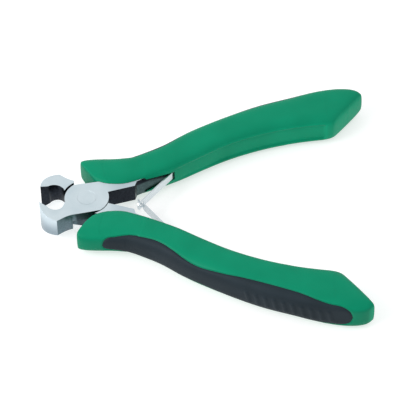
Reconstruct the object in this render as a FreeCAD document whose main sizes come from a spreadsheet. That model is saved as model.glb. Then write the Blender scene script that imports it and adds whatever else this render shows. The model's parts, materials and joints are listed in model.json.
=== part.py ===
"""End-cutting flush nipper with a lap joint, two-material grips and a pair of hooked leaf springs.

Row frame, millimetres: the origin is on the pivot axis at the underside of the lap joint, +Z is up through
the joint, +X runs to the handle ends and the jaws point to -X. The upper lever has its handle on the +Y side.
The lower lever is the same forging turned half a turn about the X line through the joint's middle plane.
The levers are drawn as the springs hold them: open.
"""
import FreeCAD, Part
import math
import os
from FreeCAD import Placement, Rotation, Vector

DOC = FreeCAD.newDocument("flush_cutter")

# ---------------------------------------------------------------- driving dimensions (millimetres, degrees)
DIMENSIONS = [
    ("joint_thickness", 7.3),
    ("disc_radius", 7.85),
    ("lap_gap", 0.1),
    ("arm_relief_radius", 8.15),
    ("jaw_relief_radius", 8.7),
    ("rivet_radius", 2.5),
    ("rivet_head_radius", 3.3),
    ("rivet_head_depth", 0.8),
    ("rivet_clearance", 0.05),
    ("jaw_width", 11.0),
    ("jaw_reach", 16.5),
    ("jaw_half_opening", 3.65),
    ("jaw_flare_start", 8.5),
    ("tang_thickness", 5.0),
    ("tang_step_reach", 33.0),
    ("tang_clearance", 0.1),
    ("grip_half_thickness", 6.2),
    ("grip_palm_power", 3.0),
    ("grip_finger_power", 4.0),
    ("insert_depth", 4.2),
    ("slot_height", 7.5),
    ("slot_narrow_reach", 20.0),
    ("slot_narrow_height", 6.0),
    ("slot_end_reach", 30.9),
    ("slot_end_height", 3.9),
    ("leaf_width", 3.2),
    ("leaf_thickness", 0.5),
    ("leaf_root_reach", 30.3),
    ("leaf_root_offset", 14.5),
    ("leaf_apex_reach", 19.2),
    ("leaf_foot_length", 8.5),
    ("leaf_foot_gap", 0.35),
    ("leaf_foot_angle", 35.8),
    ("hook_window_length", 2.3),
    ("hook_window_height", 1.9),
    ("hook_tip_length", 1.9),
    ("hook_neck_height", 1.1),
    ("hook_head_height", 2.5),
    ("hook_head_length", 0.6),
    ("spring_rivet_radius", 0.8),
    ("spring_rivet_head_radius", 1.3),
    ("spring_rivet_head_height", 0.5),
    ("spring_rivet_depth", 2.5),
    ("spring_rivet_reach", 5.0),
]
sheet = DOC.addObject("Spreadsheet::Sheet", "dims")
for row, (alias, value) in enumerate(DIMENSIONS, start=1):
    sheet.set(f"A{row}", alias)
    sheet.set(f"B{row}", str(value))
    sheet.setAlias(f"B{row}", alias)
DOC.recompute()


def dim(alias):
    """The value of a cell of the sheet."""
    return float(sheet.get(alias))


MIDDLE = dim("joint_thickness") / 2
FAR = 200.0                      # longer than anything in the model
HALF_TURN = Placement(Vector(0, 0, 2 * MIDDLE), Rotation(Vector(1, 0, 0), 180))


def polar(radius, degrees):
    angle = math.radians(degrees)
    return (radius * math.cos(angle), radius * math.sin(angle))


# ---------------------------------------------------------------- sketch and feature helpers
def new_body(name):
    return DOC.addObject("PartDesign::Body", name)


def new_sketch(body, name, plane, height_expression=None):
    """A sketch on one of the body's own origin planes, raised along the plane's normal."""
    sketch = body.newObject("Sketcher::SketchObject", name)
    origin_plane = [f for f in body.Origin.OriginFeatures if f.Role == plane][0]
    sketch.AttachmentSupport = [(origin_plane, "")]
    sketch.MapMode = "FlatFace"
    if height_expression:
        sketch.setExpression(".AttachmentOffset.Base.z", height_expression)
    return sketch


def draw(sketch, start, *steps):
    """A closed profile: each step is the next corner, or (point on arc, next corner) for an arc."""
    here = start
    for step in steps:
        if isinstance(step[0], tuple):
            middle, there = step
            sketch.addGeometry(Part.Arc(vec(here), vec(middle), vec(there)), False)
        else:
            there = step
            sketch.addGeometry(Part.LineSegment(vec(here), vec(there)), False)
        here = there
    if here != start:
        sketch.addGeometry(Part.LineSegment(vec(here), vec(start)), False)


def draw_rectangle(sketch, x0, y0, x1, y1):
    draw(sketch, (x0, y0), (x1, y0), (x1, y1), (x0, y1))


def vec(point):
    return Vector(point[0], point[1], 0)


def pad(body, sketch, name, length_expression, midplane=False):
    feature = body.newObject("PartDesign::Pad", name)
    feature.Profile = sketch
    feature.setExpression("Length", length_expression)
    if midplane:
        feature.SideType = "Symmetric"
    return feature


def pocket(body, sketch, name, length=FAR, midplane=False, length_expression=None):
    feature = body.newObject("PartDesign::Pocket", name)
    feature.Profile = sketch
    feature.Length = length
    if length_expression:
        feature.setExpression("Length", length_expression)
    if midplane:
        feature.SideType = "Symmetric"
    return feature


def cut(name, base, *tools):
    """Base less every tool, one after the other."""
    for i, tool in enumerate(tools):
        feature = DOC.addObject("Part::Cut", name if tool is tools[-1] else f"{name}_{i}")
        feature.Base, feature.Tool = base, tool
        base = feature
    return base


def common(name, *shapes):
    feature = DOC.addObject("Part::MultiCommon", name)
    feature.Shapes = list(shapes)
    return feature


# ---------------------------------------------------------------- where the leaf springs are held
ROOT = Vector(dim("leaf_root_reach"), dim("leaf_root_offset"), MIDDLE)
LEAF_ANGLE = math.degrees(math.atan2(-ROOT.y, dim("leaf_apex_reach") - ROOT.x))
LEAF_SPAN = math.hypot(ROOT.y, ROOT.x - dim("leaf_apex_reach"))


def under_foot(reach):
    """A point on the tang's inner face, at a distance from the leaf's root along its clamped foot."""
    x, y = polar(reach, dim("leaf_foot_angle"))
    dx, dy = polar(dim("leaf_thickness") / 2, dim("leaf_foot_angle") + 90)
    return (ROOT.x + x + dx, ROOT.y + y + dy)


# ---------------------------------------------------------------- levers: jaw, lap disc, arm and tang in one forging
JAW_TIP = (-dim("jaw_reach"), -dim("jaw_half_opening"))
JAW_CREASE = (-13.7, -4.9)         # where the cutting bevel meets the hollow
JAW_HOLLOW = (-10.8, -5.95)        # deepest point of the hollow
JAW_HEEL = (-8.0, -3.5)            # where the hollow runs out on the disc
JAW_FRONT = (-14.74, -8.55)        # on the domed front face
JAW_CORNER = (-10.1, -11.3)
NECK_CURVE = [(-7.6, -9.55), (-5.5, -8.5), (-3.2, -7.95)]
ARM_INNER = [polar(dim("disc_radius"), 20), (16.9, 5.6)]
ARM_OUTER = [polar(dim("disc_radius"), 128.5), (4.2, 7.75), (8.5, 9.4)]
TANG_INNER = [(17.5, 7.7), (30.2, 15.15), under_foot(1.0), under_foot(22.0), (70.0, 38.3)]
TANG_END = [(75.5, 40.2), (74.6, 42.6)]
TANG_OUTER = [(68.0, 41.9), (48.0, 33.6), (30.0, 22.4), (20.0, 16.2), (13.0, 12.6)]
TANG_OUTLINE = [(8.5, 9.4)] + TANG_OUTER[::-1] + TANG_END[::-1] + TANG_INNER[::-1]


def lever_outline(sketch):
    """Plan view of the forging, from the cutting edge round by the handle and back."""
    radius = dim("disc_radius")
    draw(
        sketch,
        JAW_TIP,
        JAW_CREASE,
        (JAW_HOLLOW, JAW_HEEL),
        polar(radius, 195),
        (polar(radius, 170), ARM_OUTER[0]),
        ARM_OUTER[1],
        *TANG_OUTLINE,
        ARM_INNER[1],
        ARM_INNER[0],
        (polar(radius, -15), polar(radius, -50.7)),
        NECK_CURVE[2],
        (NECK_CURVE[1], NECK_CURVE[0]),
        JAW_CORNER,
        (JAW_FRONT, JAW_TIP),
    )


def side_trims(sketch):
    """Side view of what is milled off above and below: the jaws flare to the cutting edge, the tang is thinner."""
    start, half, jaw_half = dim("jaw_flare_start"), MIDDLE, dim("jaw_width") / 2
    run, rise = dim("jaw_reach") - start, jaw_half - half
    radius = (run ** 2 + rise ** 2) / (2 * rise)
    tang_half, step = dim("tang_thickness") / 2, dim("tang_step_reach")

    def flare(x):
        return (-start - x, half + radius - math.sqrt(radius ** 2 - x ** 2))

    end = flare(run + 3)
    for sign in (1, -1):
        start_point, on_flare, foot, *others = [
            (x, MIDDLE + sign * z)
            for x, z in (
                end,
                flare(run / 2),
                flare(0),
                (step, half),
                (step + 2, tang_half),
                (FAR, tang_half),
                (FAR, 3 * jaw_half),
                (end[0], 3 * jaw_half),
            )
        ]
        draw(sketch, start_point, (on_flare, foot), *others)


def lap_relief(sketch):
    """Plan view of the half of the joint that the other lever's disc needs."""
    arm, jaw = dim("arm_relief_radius"), dim("jaw_relief_radius")
    run_out = polar(jaw, 236)
    draw(
        sketch,
        run_out,
        (run_out[0], -9.5),
        (5.8, -9.3),
        polar(arm, -20),
        (polar(arm, 30), polar(arm, 75)),
        (-6.0, 8.8),
        (-jaw, 3.0),
        (-jaw, 0.0),
        (polar(jaw, 205), run_out),
    )


def rivet_profile(sketch, clearance):
    """Half section of the rivet with its two countersunk heads, turned about Z."""
    thickness = dim("joint_thickness")
    body, head = dim("rivet_radius") + clearance, dim("rivet_head_radius") + clearance
    depth = dim("rivet_head_depth")
    draw(
        sketch,
        (0, 0),
        (head, 0),
        (body, depth),
        (body, thickness - depth),
        (head, thickness),
        (0, thickness),
    )


def lever(name, placement, rivet_gap):
    body = new_body(name)
    outline = new_sketch(body, name + "_outline", "XY_Plane", "(dims.joint_thickness - dims.jaw_width) / 2")
    lever_outline(outline)
    pad(body, outline, name + "_blank", "dims.jaw_width")
    trims = new_sketch(body, name + "_side_trims", "XZ_Plane")
    side_trims(trims)
    pocket(body, trims, name + "_milled_sides", midplane=True)
    relief = new_sketch(body, name + "_lap_relief", "XY_Plane", "(dims.joint_thickness + dims.lap_gap) / 2")
    lap_relief(relief)
    pocket(body, relief, name + "_lap", length_expression="dims.jaw_width")
    profile = new_sketch(body, name + "_rivet_seat", "XZ_Plane")
    rivet_profile(profile, rivet_gap)
    seat = body.newObject("PartDesign::Groove", name + "_bore")
    seat.Profile = profile
    seat.ReferenceAxis = (profile, ["V_Axis"])
    seat.Angle = 360
    body.Placement = placement
    return body


def pivot_rivet():
    body = new_body("pivot_rivet")
    profile = new_sketch(body, "pivot_rivet_profile", "XZ_Plane")
    rivet_profile(profile, 0)
    turned = body.newObject("PartDesign::Revolution", "pivot_rivet_turned")
    turned.Profile = profile
    turned.ReferenceAxis = (profile, ["V_Axis"])
    turned.Angle = 360
    return body


# ---------------------------------------------------------------- grips: a hard shell with a soft insert on the palm side
# Each rib is (inner point, outer point, half thickness as a share of the grip's), from the joint to the handle end.
GRIP_RIBS = [
    ((-0.3, 10.0), (-2.7, 16.9), 0.45),
    ((1.0, 8.1), (-2.8, 18.8), 0.70),
    ((2.7, 6.9), (-0.8, 19.7), 0.79),
    ((7.5, 5.8), (5.6, 19.9), 0.81),
    ((13.0, 6.0), (11.0, 20.1), 0.82),
    ((18.2, 7.9), (14.9, 20.5), 0.83),
    ((23.7, 10.3), (18.6, 21.9), 0.85),
    ((32.5, 14.7), (26.4, 26.0), 0.89),
    ((41.5, 20.2), (34.6, 32.0), 0.93),
    ((49.6, 24.9), (43.3, 37.0), 0.97),
    ((57.8, 28.6), (52.2, 41.6), 0.99),
    ((65.9, 31.4), (61.0, 45.6), 1.00),
    ((74.1, 33.4), (69.9, 48.8), 1.00),
    ((81.0, 34.5), (77.7, 51.3), 1.00),
    ((86.4, 35.1), (85.4, 53.0), 1.00),
    ((92.4, 36.3), (92.0, 53.8), 0.97),
    ((97.5, 38.5), (97.4, 53.0), 0.90),
    ((100.7, 40.5), (100.3, 51.4), 0.72),
]
# The slanted end of the grip: inner corner, start of the tip, middle of the tip and its outer end.
TAIL_SLANT = [(84.4, 30.3), (97.9, 47.4), (99.3, 49.4), (100.0, 51.9)]
# The soft insert's outline in side view: (X, half height) along its wavy edge, and the X of its two round ends.
INSERT_WAVE = [
    (8.2, 3.1), (15.0, 4.3), (24.0, 5.05), (31.0, 4.95), (39.0, 4.3), (46.0, 4.9), (54.0, 5.6),
    (63.0, 5.85), (74.0, 5.65), (83.0, 5.2), (88.2, 4.2),
]
INSERT_FRONT, INSERT_BACK = 6.0, 91.6
SECTION_POINTS = 20


def grip_section(rib):
    """One closed rib: a squared-off oval that stands on the line from its inner to its outer point."""
    inner, outer, share = rib
    a, b = Vector(inner[0], inner[1], MIDDLE), Vector(outer[0], outer[1], MIDDLE)
    across = b - a
    half_width = across.Length / 2
    half_height = share * dim("grip_half_thickness")
    across.normalize()
    centre = (a + b) / 2
    points = []
    for i in range(SECTION_POINTS):
        angle = 2 * math.pi * i / SECTION_POINTS - math.pi / 2
        power = 2 / dim("grip_palm_power" if math.cos(angle) > 0 else "grip_finger_power")
        u = math.copysign(abs(math.cos(angle)) ** power, math.cos(angle)) * half_width
        v = math.copysign(abs(math.sin(angle)) ** power, math.sin(angle)) * half_height
        points.append(centre + across * u + Vector(0, 0, v))
    curve = Part.BSplineCurve()
    curve.interpolate(points, PeriodicFlag=True)
    return Part.Wire([curve.toShape()])


def grip_loft(name):
    sections = []
    for i, rib in enumerate(GRIP_RIBS):
        section = DOC.addObject("Part::Feature", f"{name}_rib_{i}")
        section.Shape = grip_section(rib)
        sections.append(section)
    loft = DOC.addObject("Part::Loft", name)
    loft.Sections = sections
    loft.Solid, loft.Ruled = True, False
    return loft


def tail_trim(side):
    """What is cut off behind the slanted end of the grip."""
    corner, slant_end, tip, outer = TAIL_SLANT
    body = new_body(side + "_tail_trim")
    sketch = new_sketch(body, side + "_tail_plan", "XY_Plane", "-dims.jaw_width")
    draw(sketch, corner, slant_end, (tip, outer), (outer[0], FAR), (FAR, FAR), (FAR, corner[1]))
    pad(body, sketch, side + "_tail_trim_pad", "4 * dims.jaw_width")
    return body


def insert_window(side):
    """The wavy outline of the soft insert, extruded across the grip."""
    body = new_body(side + "_insert_window")
    sketch = new_sketch(body, side + "_insert_wave", "XZ_Plane")
    ends = []
    for sign in (1, -1):
        edge = [Vector(x, MIDDLE + sign * height, 0) for x, height in INSERT_WAVE]
        curve = Part.BSplineCurve()
        curve.interpolate(edge)
        sketch.addGeometry(curve, False)
        ends.append((edge[0], edge[-1]))
    for point, top, bottom in zip((INSERT_FRONT, INSERT_BACK), ends[0], ends[1]):
        sketch.addGeometry(Part.Arc(top, Vector(point, MIDDLE, 0), bottom), False)
    window = body.newObject("PartDesign::Pad", side + "_insert_window_pad")
    window.Profile = sketch
    window.Length = FAR
    window.SideType = "Symmetric"
    return body


def palm_side(side):
    """Everything from the insert's bed outwards, on the palm side of the grip."""
    bed = []
    for inner, outer, _ in GRIP_RIBS[1:]:
        a, b = vec(outer), vec(inner)
        bed.append(a + (b - a).normalize() * dim("insert_depth"))
    body = new_body(side + "_palm_side")
    sketch = new_sketch(body, side + "_palm_side_plan", "XY_Plane", "-dims.jaw_width")
    curve = Part.BSplineCurve()
    curve.interpolate(bed)
    first, last = bed[0], bed[-1]
    corners = [last, Vector(last.x, FAR, 0), Vector(first.x, FAR, 0), first]
    sketch.addGeometry(curve, False)
    for start, end in zip(corners, corners[1:]):
        sketch.addGeometry(Part.LineSegment(start, end), False)
    pad(body, sketch, side + "_palm_side_pad", "4 * dims.jaw_width")
    return body


def offset_outline(points, distance):
    """A closed polygon moved outwards by a distance."""
    wire = Part.makePolygon([vec(p) for p in points + points[:1]])
    grown = Part.Face(wire).makeOffset2D(distance, 2)
    return [(v.X, v.Y) for v in grown.OuterWire.OrderedVertexes]


def tang_cavity(side):
    """Room in the grip for the arm and tang, and for the other lever's disc to turn."""
    body = new_body(side + "_tang_cavity")
    arm = new_sketch(body, side + "_arm_room", "XY_Plane", "-dims.tang_clearance / 2")
    root = [polar(dim("disc_radius"), 20), (-4.9, 6.1), (4.2, 7.75)]
    corners = offset_outline(root + TANG_OUTLINE + [ARM_INNER[1]], dim("tang_clearance"))
    draw(arm, corners[0], *corners[1:])
    pad(body, arm, side + "_arm_room_pad", "dims.joint_thickness + dims.tang_clearance")
    disc = new_sketch(body, side + "_disc_room", "XY_Plane", "-dims.tang_clearance")
    disc.addGeometry(Part.Circle(Vector(0, 0, 0), Vector(0, 0, 1), dim("arm_relief_radius") + 0.2), False)
    pad(body, disc, side + "_disc_room_pad", "dims.joint_thickness + 2 * dims.tang_clearance")
    return body


def spring_slot(side):
    """The window in the grip's inner side that bares the tang and lets the leaf out; it narrows to the leaf's root."""
    end, narrow = dim("slot_end_reach"), dim("slot_narrow_reach")
    plan_body = new_body(side + "_slot_plan_body")
    plan = new_sketch(plan_body, side + "_slot_plan", "XY_Plane", "(dims.joint_thickness - dims.slot_height) / 2")
    draw(plan, (15.5, 3.0), (end + 1.2, 3.0), (end, 15.6), (17.0, 7.6))
    pad(plan_body, plan, side + "_slot_plan_pad", "dims.slot_height")
    view_body = new_body(side + "_slot_view_body")
    view = new_sketch(view_body, side + "_slot_view", "XZ_Plane")
    edge = [
        (15.0, dim("slot_height")),
        (narrow, dim("slot_height")),
        (narrow + 1, dim("slot_narrow_height") / 2),
        (end + 1.2, dim("slot_end_height") / 2),
    ]
    upper = [(x, MIDDLE + z) for x, z in edge]
    lower = [(x, MIDDLE - z) for x, z in reversed(edge)]
    draw(view, upper[0], *upper[1:], *lower)
    pad(view_body, view, side + "_slot_view_pad", "8 * dims.jaw_width", midplane=True)
    return common(side + "_spring_slot", plan_body, view_body)


# ---------------------------------------------------------------- leaf springs
def leaf_blade(name, hooked, placement):
    """A flat blade along its own X from the flex line to the hook; the tip has a window, or a T for that window."""
    half_thick, half_width = dim("leaf_thickness") / 2, dim("leaf_width") / 2
    body = new_body(name)
    plan = new_sketch(body, name + "_plan", "XY_Plane")
    end = LEAF_SPAN + dim("hook_tip_length")
    draw(
        plan,
        (0, half_thick),
        ((-half_thick, 0), (0, -half_thick)),
        (end, -half_thick),
        (end, half_thick),
    )
    pad(body, plan, name + "_strip", "dims.leaf_width", midplane=True)
    side = new_sketch(body, name + "_side", "XZ_Plane")
    window, bevel = dim("hook_window_length") / 2, dim("leaf_thickness")
    if hooked:
        neck, head = dim("hook_neck_height") / 2, dim("hook_head_height") / 2
        shoulder, step = LEAF_SPAN - window, end - dim("hook_head_length")
        for sign in (1, -1):
            draw(
                side,
                (shoulder, sign * neck),
                (step, sign * neck),
                (step, sign * head),
                (end + 1, sign * head),
                (end + 1, sign * 2 * half_width),
                (shoulder - bevel, sign * 2 * half_width),
                (shoulder - bevel, sign * half_width),
            )
    else:
        height = dim("hook_window_height") / 2
        draw_rectangle(side, LEAF_SPAN - window, -height, LEAF_SPAN + window, height)
        for sign in (1, -1):
            draw(
                side,
                (end, sign * (half_width - bevel)),
                (end + 1, sign * 2 * half_width),
                (end - bevel, sign * 2 * half_width),
                (end - bevel, sign * half_width),
            )
    pocket(body, side, name + "_hook", midplane=True)
    body.Placement = placement
    return body


def leaf_foot(name, placement):
    """The clamped end of the leaf, flat on the tang, with the hole for its rivet."""
    half_thick = dim("leaf_thickness") / 2
    body = new_body(name)
    plan = new_sketch(body, name + "_plan", "XY_Plane")
    draw_rectangle(plan, dim("leaf_foot_gap"), -half_thick, dim("leaf_foot_length"), half_thick)
    pad(body, plan, name + "_strip", "dims.leaf_width", midplane=True)
    hole = new_sketch(body, name + "_hole", "XZ_Plane")
    centre = Vector(dim("spring_rivet_reach"), 0, 0)
    hole.addGeometry(Part.Circle(centre, Vector(0, 0, 1), dim("spring_rivet_radius")), False)
    pocket(body, hole, name + "_drilled", midplane=True)
    body.Placement = placement
    return body


def spring_rivet(name, placement):
    """A small rivet on its own Z: a domed head above the foot, and a shank down into the tang."""
    shank, head = dim("spring_rivet_radius"), dim("spring_rivet_head_radius")
    rise, seat = dim("spring_rivet_head_height"), dim("leaf_thickness") / 2
    body = new_body(name)
    profile = new_sketch(body, name + "_profile", "XZ_Plane")
    draw(
        profile,
        (0, -seat - dim("spring_rivet_depth")),
        (shank, -seat - dim("spring_rivet_depth")),
        (shank, seat),
        (head, seat),
        ((0.8 * head, seat + 0.7 * rise), (0.4 * head, seat + rise)),
        (0, seat + rise),
    )
    turned = body.newObject("PartDesign::Revolution", name + "_turned")
    turned.Profile = profile
    turned.ReferenceAxis = (profile, ["V_Axis"])
    turned.Angle = 360
    body.Placement = placement
    return body


def foot_room(name, placement):
    """The slit in the grip that the clamped foot and the rivet's head lie in."""
    half_thick, gap = dim("leaf_thickness") / 2, dim("tang_clearance")
    body = new_body(name)
    plan = new_sketch(body, name + "_plan", "XY_Plane")
    draw_rectangle(plan, 0, -half_thick - gap, dim("leaf_foot_length") + gap, half_thick + gap)
    pad(body, plan, name + "_slit", "dims.leaf_width + 2 * dims.tang_clearance", midplane=True)
    head = new_sketch(body, name + "_head", "XY_Plane")
    reach, radius = dim("spring_rivet_reach"), dim("spring_rivet_head_radius") + gap
    draw_rectangle(head, 0, 0, reach + radius, half_thick + dim("spring_rivet_head_height") + gap)
    pad(body, head, name + "_head_slit", "2 * (dims.spring_rivet_head_radius + dims.tang_clearance)", midplane=True)
    body.Placement = placement
    return body


# ---------------------------------------------------------------- one half of the tool
def build_side(side, place, rivet_gap, hooked):
    """The nodes of one lever and all it carries, modelled as the upper lever and then put in place."""
    foot_angle = dim("leaf_foot_angle")
    at_blade = Placement(ROOT, Rotation(Vector(0, 0, 1), LEAF_ANGLE))
    at_foot = Placement(ROOT, Rotation(Vector(0, 0, 1), foot_angle))
    inward = Vector(math.sin(math.radians(foot_angle)), -math.cos(math.radians(foot_angle)), 0)
    on_foot = ROOT + Vector(*polar(dim("spring_rivet_reach"), foot_angle), 0)
    at_rivet = Placement(on_foot, Rotation(Vector(0, 0, 1), inward))

    rivet = spring_rivet(side + "_rivet_solid", at_rivet)
    forging = lever(side + "_forging", Placement(), rivet_gap)
    steel = cut(side + "_lever_solid", forging, rivet)

    skin = cut(side + "_grip_skin", grip_loft(side + "_grip_loft"), tail_trim(side))
    palm, window = palm_side(side), insert_window(side)
    palm_half = common(side + "_palm_half", skin, palm)
    insert = common(side + "_insert_solid", palm_half, window)
    rim = cut(side + "_insert_rim", palm_half, window)
    moulding = DOC.addObject("Part::Fuse", side + "_moulding")
    moulding.Base, moulding.Tool = cut(side + "_finger_half", skin, palm), rim
    slit = foot_room(side + "_foot_room", at_foot.multiply(Placement(Vector(), Rotation(Vector(1, 0, 0), 180))))
    shell = cut(side + "_shell_solid", moulding, tang_cavity(side), spring_slot(side), slit)

    solids = {
        side + "_lever": steel,
        side + "_grip_shell": shell,
        side + "_grip_insert": insert,
        side + "_spring_blade": leaf_blade(side + "_blade_solid", hooked, at_blade),
        side + "_spring_foot": leaf_foot(side + "_foot_solid", at_foot),
        side + "_spring_rivet": rivet,
    }
    DOC.recompute()
    nodes = {}
    for name, solid in solids.items():
        node = DOC.addObject("Part::Feature", name)
        node.Shape = solid.Shape
        node.Placement = place.multiply(solid.Placement)
        nodes[name] = node
    return nodes


def check(nodes):
    """Stop if an object failed, or if a node isn't one valid solid."""
    for feature in DOC.Objects:
        if any(word in feature.State for word in ("Invalid", "Error")):
            raise RuntimeError(f"{feature.Name} failed: {feature.State}")
    for name, node in nodes.items():
        shape = node.Shape
        if shape.isNull() or not shape.isValid() or len(shape.Solids) != 1:
            raise RuntimeError(f"{name} is not one valid solid")


def main():
    nodes = {"pivot_rivet": pivot_rivet()}
    nodes.update(build_side("upper", Placement(), dim("rivet_clearance"), hooked=False))
    nodes.update(build_side("lower", HALF_TURN, 0, hooked=True))
    DOC.recompute()
    check(nodes)
    os.makedirs("parts", exist_ok=True)
    for name, node in nodes.items():
        node.Label = name
        node.Shape.exportStep(f"parts/{name}.step")
        box = node.Shape.BoundBox
        print(f"{name}: {node.Shape.Volume:.1f} mm3, X {box.XMin:.2f}..{box.XMax:.2f}, "
              f"Y {box.YMin:.2f}..{box.YMax:.2f}, Z {box.ZMin:.2f}..{box.ZMax:.2f}")


main()
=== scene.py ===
"""Looks of the end-cutting flush nipper: camera, light, materials and the moulded grips."""
import bpy
import bmesh
import json
import math
import numpy as np
from mathutils import Matrix, Vector, kdtree


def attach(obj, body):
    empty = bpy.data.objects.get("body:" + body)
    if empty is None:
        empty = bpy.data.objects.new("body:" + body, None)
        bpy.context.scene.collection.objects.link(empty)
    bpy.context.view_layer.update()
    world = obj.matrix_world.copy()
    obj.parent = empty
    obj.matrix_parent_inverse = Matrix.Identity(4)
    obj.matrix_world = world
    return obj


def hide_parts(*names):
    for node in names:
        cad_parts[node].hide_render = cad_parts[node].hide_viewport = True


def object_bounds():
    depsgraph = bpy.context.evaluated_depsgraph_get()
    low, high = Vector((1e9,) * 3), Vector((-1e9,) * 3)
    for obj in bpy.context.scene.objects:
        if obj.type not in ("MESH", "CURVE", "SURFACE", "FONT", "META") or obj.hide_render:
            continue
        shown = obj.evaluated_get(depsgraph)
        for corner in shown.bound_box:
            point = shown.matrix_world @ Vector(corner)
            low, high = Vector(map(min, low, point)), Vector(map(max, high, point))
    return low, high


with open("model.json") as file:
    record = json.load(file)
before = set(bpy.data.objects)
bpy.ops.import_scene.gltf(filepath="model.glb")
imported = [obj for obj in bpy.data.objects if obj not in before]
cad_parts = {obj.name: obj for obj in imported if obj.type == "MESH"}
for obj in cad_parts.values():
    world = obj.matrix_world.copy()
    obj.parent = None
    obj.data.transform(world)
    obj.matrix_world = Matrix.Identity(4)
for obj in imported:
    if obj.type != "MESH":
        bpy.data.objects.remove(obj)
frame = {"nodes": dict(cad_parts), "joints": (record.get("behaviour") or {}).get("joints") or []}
CAD_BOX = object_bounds()
NODES = frame["nodes"]
PIVOT = next(joint for joint in frame["joints"] if joint["name"] == "main_pivot")
MM = 0.001
SIDES = ("upper", "lower")


# ---------------------------------------------------------------- colours and shader nodes
NOISE_LOW, NOISE_HIGH = 0.3, 0.7


def linear(r, g, b):
    """A screen colour, 0 to 255, as linear light."""
    out = []
    for value in (r, g, b):
        c = value / 255
        out.append(c / 12.92 if c <= 0.04045 else ((c + 0.055) / 1.055) ** 2.4)
    return (*out, 1)


def scaled(colour, share):
    """The same colour, lighter or deeper."""
    return tuple(share * c for c in colour[:3]) + (1,)


class Shader:
    """A new material, with short calls to add and join its nodes."""

    def __init__(self, name, metallic, roughness, specular=0.5):
        self.material = bpy.data.materials.new(name)
        self.material.use_nodes = True
        self.nodes = self.material.node_tree.nodes
        self.links = self.material.node_tree.links
        self.bsdf = self.nodes["Principled BSDF"]
        self.bsdf.inputs["Metallic"].default_value = metallic
        self.bsdf.inputs["Roughness"].default_value = roughness
        self.bsdf.inputs["Specular IOR Level"].default_value = specular
        where = self.nodes.new("ShaderNodeTexCoord").outputs
        self.place, self.normal = where["Object"], where["Normal"]

    def join(self, source, target):
        """A link from an output to an input."""
        self.links.new(source, target)

    def set(self, socket, source):
        """A link from an output to one of the surface's own inputs."""
        self.join(source, self.bsdf.inputs[socket])

    def noise(self, scale, detail, stretch=(1, 1, 1)):
        """Noise over the object, in features per metre; stretch multiplies that along each axis."""
        mapping = self.nodes.new("ShaderNodeMapping")
        mapping.inputs["Scale"].default_value = stretch
        self.join(self.place, mapping.inputs["Vector"])
        noise = self.nodes.new("ShaderNodeTexNoise")
        noise.inputs["Scale"].default_value = scale
        noise.inputs["Detail"].default_value = detail
        self.join(mapping.outputs["Vector"], noise.inputs["Vector"])
        return noise.outputs["Fac"]

    def tone(self, source, dark, light, low=NOISE_LOW, high=NOISE_HIGH):
        """A colour that goes from dark to light while the source goes from low to high."""
        ramp = self.nodes.new("ShaderNodeValToRGB")
        for element, position, colour in zip(ramp.color_ramp.elements, (low, high), (dark, light)):
            element.position = position
            element.color = colour
        self.join(source, ramp.inputs["Fac"])
        return ramp.outputs["Color"]

    def spread(self, source, low, high):
        """Noise spread over low to high."""
        node = self.nodes.new("ShaderNodeMapRange")
        node.inputs["From Min"].default_value = NOISE_LOW
        node.inputs["From Max"].default_value = NOISE_HIGH
        node.inputs["To Min"].default_value = low
        node.inputs["To Max"].default_value = high
        self.join(source, node.inputs["Value"])
        return node.outputs["Result"]

    def bump(self, source, depth):
        """A bump of that depth in metres."""
        node = self.nodes.new("ShaderNodeBump")
        node.inputs["Distance"].default_value = depth
        self.join(source, node.inputs["Height"])
        return node.outputs["Normal"]

    def parts(self, vector):
        """The x, y and z of a vector."""
        node = self.nodes.new("ShaderNodeSeparateXYZ")
        self.join(vector, node.inputs[0])
        return node.outputs[0], node.outputs[1], node.outputs[2]

    def calculate(self, operation, *values):
        """A number worked out from others, which are outputs or plain numbers."""
        node = self.nodes.new("ShaderNodeMath")
        node.operation = operation
        for socket, value in zip(node.inputs, values):
            if isinstance(value, float):
                socket.default_value = value
            else:
                self.join(value, socket)
        return node.outputs[0]

    def product(self, first, *others):
        """Numbers multiplied together."""
        for other in others:
            first = self.calculate("MULTIPLY", first, other)
        return first

    def step(self, source, start, end, least=0.0):
        """Least at start, 1 at end, and a smooth step between."""
        node = self.nodes.new("ShaderNodeMapRange")
        node.interpolation_type = "SMOOTHSTEP"
        node.inputs["From Min"].default_value = start
        node.inputs["From Max"].default_value = end
        node.inputs["To Min"].default_value = least
        self.join(source, node.inputs["Value"])
        return node.outputs["Result"]

    def mix(self, share, first, second):
        """Two colours mixed; a share of 1 is all of the second."""
        node = self.nodes.new("ShaderNodeMix")
        node.data_type = "RGBA"
        self.join(share, node.inputs["Factor"])
        self.join(first, node.inputs[6])
        self.join(second, node.inputs[7])
        return node.outputs[2]


# ---------------------------------------------------------------- materials
# Painted light and shade on the grips' walls, as shares of the faces' tone: palm-side walls and the front end
# painted darker as shade, finger-side walls painted lighter, the tail's end faces painted lighter as sheen.
PALM_PAINTED_SHADE, FINGER_PAINTED_LIGHT, END_PAINTED_SHEEN = 0.82, 1.17, 1.25
CLOUDS_PER_METRE = 120
BELT_MARKS_PER_METRE, BELT_MARK_DEPTH = 900, 4e-6
# The levers' tones, each from darker to lighter: bright ground faces, then the walls' tones, with painted
# shade on the jaws' outer sides and the neck, dark inner sides, and a painted reflection on the tang in its
# slot.
GROUND_TONES = {
    "ground": ((211, 225, 231), (227, 238, 243)),
    "arm": ((196, 210, 217), (205, 218, 225)),
    # the jaws' front domes go from this tone low down to the arm tone on top: painted shade below, painted
    # light above
    "low": ((140, 155, 165), (152, 167, 176)),
}
WALL_TONES = {
    "outer_painted_shade": ((92, 110, 119), (108, 126, 134)),
    "dark": ((31, 35, 42), (45, 50, 58)),
    "tang": ((60, 78, 80), (78, 98, 98)),
}
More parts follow.
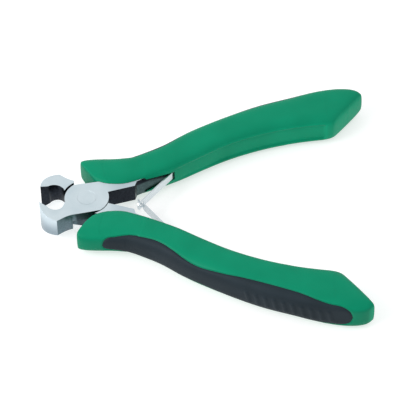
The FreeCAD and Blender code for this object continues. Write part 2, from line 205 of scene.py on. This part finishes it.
# Where those tones change: the start and the end of each smooth step, in metres.
# behind the jaw the outer walls keep only this share of the outer tone and the rest is dark: painted shade on
# the neck
JAW_BACK_X, JAW_BACK_LEAST = (-0.0030, -0.0042), 0.35
DOME_X = (-0.0088, -0.0096)
# from the bottom to the top of the front domes: painted shade low down, painted light on top
DOME_Z = (0.0, 0.0075)
ARM_X = (0.0065, 0.0130)
# The tang inside the grip's slot: low down it is painted a lighter green-grey as a reflection, higher up it
# keeps the dark tone as painted shadow.
TANG_X = (0.0168, 0.0175)
TANG_Z = (0.0055, 0.0047)


def moulded(name, dark, light, roughness, grain, depth, specular):
    """Moulded plastic or rubber: fine grain, faint clouds, and painted light and shade on the walls by the
    way they face.
    """
    shader = Shader(name, 0, roughness, specular)
    cloud = shader.noise(90, 2)
    fine = shader.noise(grain, 4)
    face, palm, finger, end = [
        shader.tone(cloud, scaled(dark, share), scaled(light, share))
        for share in (1, PALM_PAINTED_SHADE, FINGER_PAINTED_LIGHT, END_PAINTED_SHEEN)
    ]
    nx, ny, nz = shader.parts(shader.normal)
    # positive on walls that face away from the middle between the handles
    outward = shader.product(shader.parts(shader.place)[1], 100.0, ny)
    # painted shade on palm-side walls and the front end, painted light on finger-side walls, painted sheen on
    # the tail's end faces
    wall = shader.mix(shader.step(outward, 0.3, -0.3), palm, finger)
    wall = shader.mix(shader.step(nx, -0.4, -0.65), wall, palm)
    wall = shader.mix(shader.step(nx, 0.45, 0.7), wall, end)
    # flat faces keep their own tone; only the walls carry the painted light and shade
    flat = shader.step(shader.calculate("ABSOLUTE", nz), 0.25, 0.75)
    shader.set("Base Color", shader.mix(flat, wall, face))
    shader.set("Roughness", shader.spread(fine, roughness - 0.06, roughness + 0.06))
    shader.set("Normal", shader.bump(fine, depth))
    return shader.material


def ground_steel(name, dark, light, roughness, along):
    """Bright steel with the fine parallel marks of a grinding belt."""
    shader = Shader(name, 1, roughness)
    belt = shader.noise(BELT_MARKS_PER_METRE, 4, along)
    cloud = shader.noise(CLOUDS_PER_METRE, 2)
    shader.set("Base Color", shader.tone(cloud, dark, light))
    shader.set("Roughness", shader.spread(belt, roughness - 0.08, roughness + 0.08))
    shader.set("Normal", shader.bump(belt, BELT_MARK_DEPTH))
    return shader.material


def lever_steel(name, roughness, along):
    """Forged steel: flat faces ground bright; the jaws' outer sides painted a darker grey as shade, the inner
    sides dark, the neck painted dark as shade, the front domes painted darker low down and lighter on top,
    and the tang low in its slot painted with a lit reflection.
    """
    shader = Shader(name, 1, roughness)
    belt = shader.noise(BELT_MARKS_PER_METRE, 4, along)
    cloud = shader.noise(CLOUDS_PER_METRE, 2)
    # fine mottled noise for the walls' tones
    scale = shader.noise(1500, 5)
    tones = {}
    for texture, table in ((cloud, GROUND_TONES), (scale, WALL_TONES)):
        for tone, (dark, light) in table.items():
            tones[tone] = shader.tone(texture, linear(*dark), linear(*light))
    x, y, z = shader.parts(shader.place)
    nx, ny, nz = shader.parts(shader.normal)
    flat = shader.step(shader.calculate("ABSOLUTE", nz), 0.55, 0.72)
    # walls that face away from the line between the jaws: all of the jaw's, and a share of those behind it;
    # the rest take the dark tone, so the neck behind the jaw is painted dark as shade
    outer = shader.step(shader.product(y, 1000.0, ny), -1.0, 0.0)
    outer = shader.product(outer, shader.step(x, *JAW_BACK_X, JAW_BACK_LEAST))
    dome = shader.product(shader.step(nx, 0.35, 0.15), shader.step(x, *DOME_X), outer)
    # painted reflection on the tang low in its slot, painted shadow above it
    lit = shader.product(shader.step(x, *TANG_X), shader.step(z, *TANG_Z))
    side = shader.mix(outer, shader.mix(lit, tones["dark"], tones["tang"]), tones["outer_painted_shade"])
    # the jaws' front domes: painted darker low down and lighter on top, as painted shade and light
    side = shader.mix(dome, side, shader.mix(shader.step(z, *DOME_Z), tones["low"], tones["arm"]))
    top = shader.mix(shader.step(x, *ARM_X), tones["ground"], tones["arm"])
    shader.set("Base Color", shader.mix(flat, side, top))
    shader.set("Roughness", shader.spread(belt, roughness - 0.06, roughness + 0.08))
    shader.set("Normal", shader.bump(belt, BELT_MARK_DEPTH))
    return shader.material


GREEN = moulded("grip_green", linear(0, 132, 97), linear(3, 139, 103), 0.45, 2600, 6e-6, 0.10)
BLACK = moulded("grip_black", linear(27, 39, 46), linear(35, 47, 55), 0.6, 3200, 1.2e-5, 0.18)
JOINT = lever_steel("joint_steel", 0.34, (1, 12, 12))
SPRING = ground_steel("spring_steel", linear(204, 212, 216), linear(218, 225, 229), 0.24, (12, 12, 1))


def paint(piece, material):
    """A CAD node takes one material."""
    piece.data.materials.clear()
    piece.data.materials.append(material)


def soften_edges(piece, width, angle=28):
    """Fine bevels on the sharp edges of a CAD node, by modifiers only."""
    weld = piece.modifiers.new("weld", "WELD")
    weld.merge_threshold = 2e-6
    flat = piece.modifiers.new("flat", "DECIMATE")
    flat.decimate_type = "DISSOLVE"
    flat.angle_limit = math.radians(0.4)
    bevel = piece.modifiers.new("bevel", "BEVEL")
    bevel.width = width
    bevel.segments = 2
    bevel.limit_method = "ANGLE"
    bevel.angle_limit = math.radians(angle)
    bevel.harden_normals = True
    bevel.miter_outer = "MITER_ARC"


# ---------------------------------------------------------------- the grip moulding (millimetres, upper grip)
MIDDLE = PIVOT["pos_m"][2] / MM
HALF_THICKNESS = 6.2
# How square the section is on its palm side, on the palm side near the handle's end, and on its finger side.
PALM_POWER, PALM_TAIL_POWER, FINGER_POWER = 3.0, 5.0, 4.0
TAIL_X = (76, 92)
# The shallow panel on the finger side: its spread over the section, and where it starts, deepens and ends.
PANEL_DEPTH, PANEL_FIRST_SHARE = 0.9, 0.55
PANEL_ACROSS, PANEL_UPRIGHT = (0.55, 0.8), (0.46, 0.64)
PANEL_START_X, PANEL_DEEPER_X, PANEL_END_X = (29, 36), (40, 50), (84.8, 86.6)
# Ribs from the joint to the handle end: (inner point, outer point, half thickness as a share of the grip's).
GRIP_RIBS = [
    ((-2.8, 11.8), (-6.6, 17.6), 0.60),
    ((0.3, 8.6), (-6.2, 18.9), 0.76),
    ((2.7, 6.9), (-0.8, 19.7), 0.79),
    ((7.5, 5.8), (5.6, 19.9), 0.81),
    ((13.0, 6.0), (11.0, 20.1), 0.82),
    ((18.2, 7.9), (14.9, 20.5), 0.83),
    ((23.7, 10.3), (18.6, 21.9), 0.85),
    ((32.5, 14.7), (26.4, 26.0), 0.89),
    ((41.5, 20.2), (34.6, 32.0), 0.93),
    ((49.6, 24.9), (43.3, 37.0), 0.97),
    ((57.8, 28.6), (52.2, 41.6), 0.99),
    ((65.9, 31.4), (61.0, 45.6), 1.00),
    ((74.1, 33.4), (69.9, 48.8), 1.00),
    ((81.0, 34.5), (77.7, 51.3), 1.00),
    ((86.4, 35.1), (85.4, 53.0), 1.00),
    ((92.4, 36.3), (92.0, 53.8), 0.97),
    ((97.5, 38.5), (97.4, 53.4), 0.94),
    ((102.4, 41.5), (102.2, 51.6), 0.84),
]
# Flat faces pressed into the two ends: (point, outward direction, roundness of the edge), Z from the middle.
END_FACES = [
    ((84.6, 30.3, 0), (0.785, -0.62, 0), 0.5),
    ((84.6, 30.3, 4.3), (0.55, -0.435, 0.71), 1.4),
    ((84.6, 30.3, -4.3), (0.55, -0.435, -0.71), 1.4),
    ((92.0, 52.3, -5.1), (0.12, 0.64, -0.76), 0.7),
    ((101.4, 50.0, 0), (0.995, 0.10, 0), 1.2),
    ((99.4, 52.2, 0), (0.75, 0.66, 0), 2.0),
    ((99.6, 0, 5.2), (0.70, 0, 0.71), 1.5),
    ((99.6, 0, -5.2), (0.70, 0, -0.71), 1.5),
    ((-5.6, 16.0, 0), (-0.98, 0.20, 0), 1.2),
    ((-4.6, 17.6, 0), (-0.72, 0.69, 0), 1.8),
    ((-1.8, 11.6, 0), (-0.86, -0.51, 0), 3.0),
    ((-4.5, 14.0, 4.7), (-0.55, -0.1, 0.83), 2.2),
    ((-4.5, 14.0, -4.7), (-0.55, -0.1, -0.83), 2.2),
]
# Points deeper inside a face than this many times its roundness stay as they are.
PRESS_REACH = 6
# The mesh: rings along the grip, points round each, rings that close each end, and steps between two ribs.
STATIONS, AROUND, CAP_RINGS, RIB_STEPS = 300, 144, 10, 40

# The soft insert in side view: (X, half height) along its wavy edge, and the X of its two round ends.
INSERT_WAVE = [
    (10.0, 3.55), (15.0, 4.3), (24.0, 5.05), (31.0, 4.95), (39.0, 4.3), (46.0, 4.9), (54.0, 5.6),
    (63.0, 5.85), (74.0, 5.7), (80.0, 5.4), (85.0, 4.95),
]
INSERT_FRONT, INSERT_BACK = 6.0, 91.8
END_POWER = 2.5
WAVE_STEPS = 12
# Above the middle the insert is lower: its share of the height at the front, then what it gains and loses,
# each as (share, from X, to X).
NARROW_SHARE, NARROW_GAIN, NARROW_LOSS = 0.60, (0.28, 8, 17), (0.04, 28, 42)
# The outline is looked for only this far towards the palm; the finger side counts as this far outside it.
PALM_LEAST, FINGER_OUTSIDE = 0.02, 3.0
# Edges aren't cut nearer than this share to their ends, and points this near to a level are set on it.
SPLIT_MARGIN, SNAP = 0.04, 0.2
# The seam round the insert, the bed that the insert lies in, and how the insert swells out of it.
SEAM_DEPTH, SEAM_HALF_WIDTH = 0.28, 0.5
SEAM_LEVELS = (-0.55, -0.22, 0.22, 0.55)
BED_DEPTH, INSERT_THICKNESS = 1.0, 0.9
SWELL, SWELL_EDGE = 0.10, (0.2, 1.4)
# Raised slanting bars on the insert.
BAR_COUNT, BAR_START, BAR_PITCH, BAR_SLANT = 10, 56.5, 3.1, 0.25
BAR_RISE, BAR_HALF_LENGTH, BAR_EDGE, BAR_FADE = 0.30, 1.9, (0.45, 0.85), (0.3, 0.8)

# Openings in the moulding: room for the other lever's disc and for this lever's arm, and the leaf's slot.
DISC_ROOM, DISC_STEP, DISC_MARGIN = 8.35, 4, 0.1
ARM_MARGIN = 0.05
ARM_ROOM = [
    (7.3, 2.55), (16.95, 5.5), (17.6, 7.6), (30.2, 15.0), (40.0, 21.6), (38.0, 27.0),
    (30.0, 22.5), (20.0, 16.3), (13.0, 12.7), (4.2, 7.85), (-4.95, 6.2), (0, 0),
]
SLOT_MOUTH = 2.0
# Each section of the slot is (X, Y of its bottom, half height).
SLOT_SECTIONS = [(15.0, 7.6, 3.75), (20.0, 9.4, 3.75), (21.0, 9.9, 3.0), (30.9, 15.7, 1.95)]


def smooth(x, low, high):
    """0 below low, 1 above high, and a smooth step between."""
    t = min(max((x - low) / (high - low), 0), 1)
    return t * t * (3 - 2 * t)


def curve(points, steps):
    """A smooth line through rows of numbers, in that many steps from each row to the next."""
    rows = np.array(points, float)
    slopes = np.gradient(rows, axis=0)
    last = len(rows) - 2
    fine = []
    for i in range(last + 1):
        for t in np.linspace(0, 1, steps, endpoint=i == last):
            rise, fall = -2 * t ** 3 + 3 * t ** 2, 2 * t ** 3 - 3 * t ** 2 + 1
            leave, arrive = t ** 3 - 2 * t ** 2 + t, t ** 3 - t ** 2
            fine.append(fall * rows[i] + leave * slopes[i] + rise * rows[i + 1] + arrive * slopes[i + 1])
    return np.array(fine)


def stations():
    """The grip's sections, evenly spread along the line of their middles, each as numbers like a rib's."""
    fine = curve([(*a, *b, share) for a, b, share in GRIP_RIBS], RIB_STEPS)
    middle = (fine[:, 0:2] + fine[:, 2:4]) / 2
    along = np.concatenate([[0], np.cumsum(np.linalg.norm(np.diff(middle, axis=0), axis=1))])
    places = np.linspace(0, along[-1], STATIONS)
    return np.stack([np.interp(places, along, fine[:, k]) for k in range(fine.shape[1])], axis=1)


def panel(x, u, v):
    """How deep the finger side's panel is, as a share; it stops short of the flared end."""
    share = smooth(-u, *PANEL_ACROSS) * (1 - smooth(abs(v), *PANEL_UPRIGHT))
    share *= smooth(x, *PANEL_START_X) * (1 - smooth(x, *PANEL_END_X))
    share *= PANEL_FIRST_SHARE + (1 - PANEL_FIRST_SHARE) * smooth(x, *PANEL_DEEPER_X)
    return share


def skin_point(section, angle):
    """The skin's point at that angle round a section, from the middle of its palm side."""
    inner, outer = section[0:2], section[2:4]
    across = (outer - inner) / 2
    c, s = math.cos(angle), math.sin(angle)
    palm_power = PALM_POWER + (PALM_TAIL_POWER - PALM_POWER) * smooth(section[0], *TAIL_X)
    power = 2 / (palm_power if c > 0 else FINGER_POWER)
    u = math.copysign(abs(c) ** power, c)
    v = math.copysign(abs(s) ** power, s)
    place = (inner + outer) / 2 + across * u
    place = place + across / np.linalg.norm(across) * PANEL_DEPTH * panel(place[0], u, v)
    return np.array((place[0], place[1], section[4] * HALF_THICKNESS * v))


def close_end(points, palm, start, flip):
    """Faces that close the ring of points from start on, over new rings that shrink to its centre."""
    edge = np.array(points[start:start + AROUND])
    centre = edge.mean(axis=0)
    outer = range(start, start + AROUND)
    faces = []
    for ring in range(1, CAP_RINGS):
        share = 1 - ring / CAP_RINGS
        inner = range(len(points), len(points) + AROUND)
        points.extend(centre + (edge - centre) * share)
        palm.extend([palm[start + j] * share for j in range(AROUND)])
        for j in range(AROUND):
            k = (j + 1) % AROUND
            faces.append((outer[j], inner[j], inner[k], outer[k]))
        outer = inner
    for j in range(AROUND):
        faces.append((outer[j], len(points), outer[(j + 1) % AROUND]))
    points.append(centre)
    palm.append(0)
    return [face[::-1] for face in faces] if flip else faces


def press(points, face):
    """Points that reach past a flat face are pressed back on to it, with a rounded edge."""
    point, direction, soft = face
    normal = np.array(direction) / np.linalg.norm(direction)
    reach = (points - np.array(point)) @ normal
    pressed = (reach - np.sqrt(reach ** 2 + soft ** 2)) / 2
    pressed = np.where(reach < -PRESS_REACH * soft, reach, pressed)
    return points + (pressed - reach)[:, None] * normal


def skin_grid():
    """The moulding's outer skin as a closed grid: (points, faces, how far each point is towards the palm)."""
    points, palm, faces = [], [], []
    for section in stations():
        for j in range(AROUND):
            angle = 2 * math.pi * j / AROUND
            points.append(skin_point(section, angle))
            palm.append(math.cos(angle))
    for i in range(STATIONS - 1):
        here, after = i * AROUND, (i + 1) * AROUND
        for j in range(AROUND):
            k = (j + 1) % AROUND
            faces.append((here + j, here + k, after + k, after + j))
    faces += close_end(points, palm, 0, False)
    faces += close_end(points, palm, (STATIONS - 1) * AROUND, True)
    points = np.array(points)
    for face in END_FACES:
        points = press(points, face)
    points[:, 2] += MIDDLE
    return points, faces, palm


WAVE_LINE = curve(INSERT_WAVE, WAVE_STEPS)


def round_end(x, wave_end, tip):
    """Half the insert's height between the end of its wavy edge and its tip; below 0 past the tip."""
    t = (x - wave_end[0]) / (tip - wave_end[0])
    return wave_end[1] * (1 - t ** END_POWER) ** (1 / END_POWER) if t < 1 else 1 - t


def outline_height(x):
    """Half the insert's height in side view; below 0 past its ends."""
    front, back = INSERT_WAVE[0], INSERT_WAVE[-1]
    if x < front[0]:
        return round_end(x, front, INSERT_FRONT)
    if x > back[0]:
        return round_end(x, back, INSERT_BACK)
    return float(np.interp(x, WAVE_LINE[:, 0], WAVE_LINE[:, 1]))


def outside_insert(co, palm):
    """Positive outside the insert's outline in side view, negative inside."""
    if palm <= PALM_LEAST:
        return FINGER_OUTSIDE
    upward = co.z - MIDDLE
    height = outline_height(co.x)
    if upward > 0:
        gain = NARROW_GAIN[0] * smooth(co.x, *NARROW_GAIN[1:])
        loss = NARROW_LOSS[0] * smooth(co.x, *NARROW_LOSS[1:])
        height *= NARROW_SHARE + gain - loss
    return abs(upward) - height


def split_at(bm, layer, level):
    """New edges along the line where the layer's value is level; returns the points on it."""
    crossing = []
    for edge in bm.edges:
        a, b = edge.verts
        fa, fb = a[layer] - level, b[layer] - level
        if fa * fb < 0:
            crossing.append((edge, a, fa / (fa - fb)))
    made = {}
    for edge, a, share in crossing:
        share = min(max(share, SPLIT_MARGIN), 1 - SPLIT_MARGIN)
        b = edge.other_vert(a)
        value = a[layer] + (b[layer] - a[layer]) * share
        point = bmesh.utils.edge_split(edge, a, share)[1]
        point[layer] = level if abs(value - level) < SNAP else value
        made[point] = True
    for face in dict.fromkeys(f for point in made for f in point.link_faces):
        here = [point for point in face.verts if point in made]
        if len(here) == 2:
            try:
                bmesh.utils.face_split(face, here[0], here[1])
            except ValueError:
                pass  # the two points are neighbours, so their edge is the line already
    return made


def points_along(line):
    """Places along a line of joined points, at the points and between them."""
    places = []
    for v in line:
        places.append(v.co.copy())
        for edge in v.link_edges:
            other = edge.other_vert(v)
            if other in line:
                places += [v.co.lerp(other.co, t) for t in (0.125, 0.25, 0.375, 0.5)]
    return places


def moulding():
    """The grip's skin with the insert's outline cut in; the seam layer has each point's distance from it."""
    points, faces, palm = skin_grid()
    bm = bmesh.new()
    made = [bm.verts.new(p) for p in points]
    for face in faces:
        bm.faces.new([made[i] for i in face])
    rough = bm.verts.layers.float.new("outline")
    seam = bm.verts.layers.float.new("seam")
    for v, side in zip(bm.verts, palm):
        v[rough] = outside_insert(v.co, side)
    line = split_at(bm, rough, 0.0)
    places = points_along(line)
    tree = kdtree.KDTree(len(places))
    for i, place in enumerate(places):
        tree.insert(place, i)
    tree.balance()
    for v in bm.verts:
        if v in line:
            v[seam] = 0.0
        else:
            distance = tree.find(v.co)[2]
            v[seam] = distance if v[rough] > 0 else -distance
    for level in SEAM_LEVELS:
        split_at(bm, seam, level)
    bm.normal_update()
    return bm


def bar_height(co):
    """The raised bars on the insert, as a share of their height."""
    along = (co.x - BAR_START - BAR_SLANT * (co.z - MIDDLE)) / BAR_PITCH
    number = round(along)
    if not 0 <= number < BAR_COUNT:
        return 0.0
    sideways = abs(along - number) * BAR_PITCH
    upright = max(abs(co.z - MIDDLE) - BAR_HALF_LENGTH, 0)
    return 1 - smooth(math.hypot(sideways, upright), *BAR_EDGE)


def sink_seam(bm):
    """The skin sinks along the seam, and inside it swells out with its bars."""
    seam = bm.verts.layers.float["seam"]
    normals = [v.normal.copy() for v in bm.verts]
    for v, normal in zip(bm.verts, normals):
        distance = v[seam]
        rise = -SEAM_DEPTH * (1 - smooth(abs(distance), 0.0, SEAM_HALF_WIDTH))
        if distance < 0:
            rise += SWELL * smooth(-distance, *SWELL_EDGE)
            rise += BAR_RISE * bar_height(v.co) * smooth(-distance, *BAR_FADE)
        v.co += normal * rise


def faces_inside(bm):
    """The faces that lie inside the seam."""
    seam = bm.verts.layers.float["seam"]
    return [face for face in bm.faces if sum(v[seam] for v in face.verts) < 0]


def new_vertices(made):
    """The vertices in the result of an extrusion."""
    return [g for g in made["geom"] if isinstance(g, bmesh.types.BMVert)]


def sink_copy(bm, faces, depth):
    """The faces get a copy at that depth below them, joined to them by a wall all round."""
    made = bmesh.ops.extrude_face_region(bm, geom=faces, use_keep_orig=True)
    for v in new_vertices(made):
        v.co -= v.normal * depth


def grip_pieces():
    """Meshes of the hard moulding, with a bed for the insert, and of the insert itself."""
    shell = moulding()
    sink_seam(shell)
    insert = shell.copy()
    inside = set(faces_inside(insert))
    bmesh.ops.delete(insert, geom=[face for face in insert.faces if face not in inside], context="FACES")
    insert.normal_update()
    sink_copy(insert, list(insert.faces), INSERT_THICKNESS)
    bed = faces_inside(shell)
    sink_copy(shell, bed, BED_DEPTH)
    bmesh.ops.delete(shell, geom=bed, context="FACES")
    for bm in (shell, insert):
        bmesh.ops.recalc_face_normals(bm, faces=bm.faces)
    return shell, insert


def as_object(bm, name):
    """A bmesh in millimetres as an object in metres."""
    mesh = bpy.data.meshes.new(name)
    bm.to_mesh(mesh)
    mesh.transform(Matrix.Scale(MM, 4))
    piece = bpy.data.objects.new(name, mesh)
    bpy.context.scene.collection.objects.link(piece)
    return piece


def prism(name, corners, low, high):
    """A cutter: a plan outline in millimetres, extruded from low to high."""
    bm = bmesh.new()
    face = bm.faces.new([bm.verts.new((x, y, low)) for x, y in corners])
    for v in new_vertices(bmesh.ops.extrude_face_region(bm, geom=[face])):
        v.co.z = high
    bmesh.ops.recalc_face_normals(bm, faces=bm.faces)
    return as_object(bm, name)


def slot_cutter():
    """The cutter for the leaf spring's slot, which gets deeper and lower towards the handle."""
    bm = bmesh.new()
    sections = []
    for x, bottom, half in SLOT_SECTIONS:
        corners = ((SLOT_MOUTH, -half), (SLOT_MOUTH, half), (bottom, half), (bottom, -half))
        sections.append([bm.verts.new((x, y, MIDDLE + z)) for y, z in corners])
    for a, b in zip(sections, sections[1:]):
        for k in range(4):
            bm.faces.new((a[k], a[(k + 1) % 4], b[(k + 1) % 4], b[k]))
    bm.faces.new(sections[0][::-1])
    bm.faces.new(sections[-1])
    bmesh.ops.recalc_face_normals(bm, faces=bm.faces)
    return as_object(bm, "cut_slot")


def cut_openings(piece):
    """Cuts the moulding's openings: room for the arm, the other lever's disc, and the spring's slot."""
    angles = [math.radians(a) for a in range(0, 360, DISC_STEP)]
    disc = [(DISC_ROOM * math.cos(a), DISC_ROOM * math.sin(a)) for a in angles]
    cutters = [
        prism("cut_disc", disc, -DISC_MARGIN, 2 * MIDDLE + DISC_MARGIN),
        prism("cut_arm", ARM_ROOM, -ARM_MARGIN, 2 * MIDDLE + ARM_MARGIN),
        slot_cutter(),
    ]
    for cutter in cutters:
        modifier = piece.modifiers.new(cutter.name, "BOOLEAN")
        modifier.operation = "DIFFERENCE"
        modifier.solver = "EXACT"
        modifier.object = cutter
    shape = bpy.data.meshes.new_from_object(piece.evaluated_get(bpy.context.evaluated_depsgraph_get()))
    piece.modifiers.clear()
    piece.data = shape
    for cutter in cutters:
        bpy.data.objects.remove(cutter)


def smooth_shade(piece, angle=35):
    """Smooth shading with creases at the sharp edges."""
    piece.data.shade_smooth()
    piece.data.set_sharp_from_angle(angle=math.radians(angle))


def grips():
    """Both grips: the upper one, and the same mouldings turned over about the joint's long middle line."""
    shell_mesh, insert_mesh = grip_pieces()
    shell = as_object(shell_mesh, "upper_grip")
    cut_openings(shell)
    insert = as_object(insert_mesh, "upper_grip_pad")
    turn = Matrix.Translation((0, 0, 2 * MIDDLE * MM)) @ Matrix.Rotation(math.pi, 4, "X")
    for upper, node, material, slot in (
        (shell, "grip_shell", GREEN, "grip_green"),
        (insert, "grip_insert", BLACK, "grip_black"),
    ):
        upper.data.materials.clear()
        smooth_shade(upper)
        lower = bpy.data.objects.new(upper.name.replace("upper", "lower"), upper.data.copy())
        bpy.context.scene.collection.objects.link(lower)
        lower.data.transform(turn)
        for side, piece in zip(SIDES, (upper, lower)):
            piece.data.materials.append(material)
            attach(piece, side + "_half")
            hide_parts(side + "_" + node)


for side in SIDES:
    paint(NODES[side + "_lever"], JOINT)
    soften_edges(NODES[side + "_lever"], 0.18 * MM)
    for node in ("_spring_blade", "_spring_foot", "_spring_rivet"):
        paint(NODES[side + node], SPRING)
paint(NODES["pivot_rivet"], JOINT)
grips()


# ---------------------------------------------------------------- floor, light and camera
FLOOR_HALF_WIDTH = 3.0
FLOOR_GREY, FLOOR_GREY_LIGHT, FLOOR_GLOW = (0.54, 0.54, 0.54, 1), (0.56, 0.56, 0.56, 1), 0.60
LENS, SENSOR_WIDTH = 216.5, 36
CAMERA_AIM, CAMERA_DISTANCE = (40.00, 1.85, MIDDLE), 853.79
# Degrees: turned about Z, tilted up from straight down, and rolled about its own line of sight.
CAMERA_TURN, CAMERA_TILT, CAMERA_ROLL = 0.950, 43.236, -1.051
# The sky is brightest this way, and fades over this span of the cosine away from it.
SKY_UP = (0, 0.6, 0.8)
SKY_SPAN, SKY_STRENGTH = (-0.6, 0.7), (0.40, 0.86)
LAMP_PLACE, LAMP_AIM, LAMP_SIZE, LAMP_POWER = (-0.75, -0.30, 0.60), (0.045, 0, 0.005), 0.6, 6.5


def floor():
    """A white light table under the tool: it glows, so that shadows on it stay faint."""
    low = CAD_BOX[0].z - 0.02 * MM
    mesh = bpy.data.meshes.new("floor")
    half = FLOOR_HALF_WIDTH
    corners = [(-half, -half, low), (half, -half, low), (half, half, low), (-half, half, low)]
    mesh.from_pydata(corners, [], [(0, 1, 2, 3)])
    piece = bpy.data.objects.new("floor", mesh)
    bpy.context.scene.collection.objects.link(piece)
    shader = Shader("floor_white", 0, 0.9, 0.0)
    shader.set("Base Color", shader.tone(shader.noise(2, 1), FLOOR_GREY, FLOOR_GREY_LIGHT, 0.0, 1.0))
    shader.bsdf.inputs["Emission Color"].default_value = (1, 1, 1, 1)
    shader.bsdf.inputs["Emission Strength"].default_value = FLOOR_GLOW
    mesh.materials.append(shader.material)


def camera():
    """A long lens, above and in front of the tool."""
    data = bpy.data.cameras.new("camera")
    data.sensor_width = SENSOR_WIDTH
    data.lens = LENS
    data.clip_start, data.clip_end = 0.01, 20
    eye = bpy.data.objects.new("camera", data)
    bpy.context.scene.collection.objects.link(eye)
    turn = Matrix.Rotation(math.radians(CAMERA_TURN), 4, "Z")
    turn = turn @ Matrix.Rotation(math.radians(CAMERA_TILT), 4, "X")
    turn = turn @ Matrix.Rotation(math.radians(CAMERA_ROLL), 4, "Z")
    back = Matrix.Translation((0, 0, CAMERA_DISTANCE * MM))
    eye.matrix_world = Matrix.Translation(Vector(CAMERA_AIM) * MM) @ turn @ back
    bpy.context.scene.camera = eye


def sky():
    """A tent of light, dimmer low down in front."""
    world = bpy.data.worlds.new("studio")
    bpy.context.scene.world = world
    world.use_nodes = True
    nodes, links = world.node_tree.nodes, world.node_tree.links
    place = nodes.new("ShaderNodeTexCoord").outputs["Generated"]
    facing = nodes.new("ShaderNodeVectorMath")
    facing.operation = "DOT_PRODUCT"
    facing.inputs[1].default_value = SKY_UP
    links.new(place, facing.inputs[0])
    fade = nodes.new("ShaderNodeMapRange")
    fade.interpolation_type = "SMOOTHSTEP"
    fade.inputs["From Min"].default_value = SKY_SPAN[0]
    fade.inputs["From Max"].default_value = SKY_SPAN[1]
    fade.inputs["To Min"].default_value = SKY_STRENGTH[0]
    fade.inputs["To Max"].default_value = SKY_STRENGTH[1]
    links.new(facing.outputs["Value"], fade.inputs["Value"])
    background = nodes["Background"]
    background.inputs["Color"].default_value = (0.97, 0.99, 1, 1)
    links.new(fade.outputs["Result"], background.inputs["Strength"])


def key_lamp():
    """One soft lamp, above and beyond the jaws."""
    data = bpy.data.lights.new("key", "AREA")
    data.shape = "SQUARE"
    data.size = LAMP_SIZE
    data.energy = LAMP_POWER
    lamp = bpy.data.objects.new("key", data)
    bpy.context.scene.collection.objects.link(lamp)
    lamp.location = LAMP_PLACE
    lamp.rotation_euler = (Vector(LAMP_AIM) - Vector(LAMP_PLACE)).to_track_quat("-Z", "Y").to_euler()


floor()
camera()
sky()
key_lamp()
bpy.context.scene.view_settings.view_transform = "Standard"
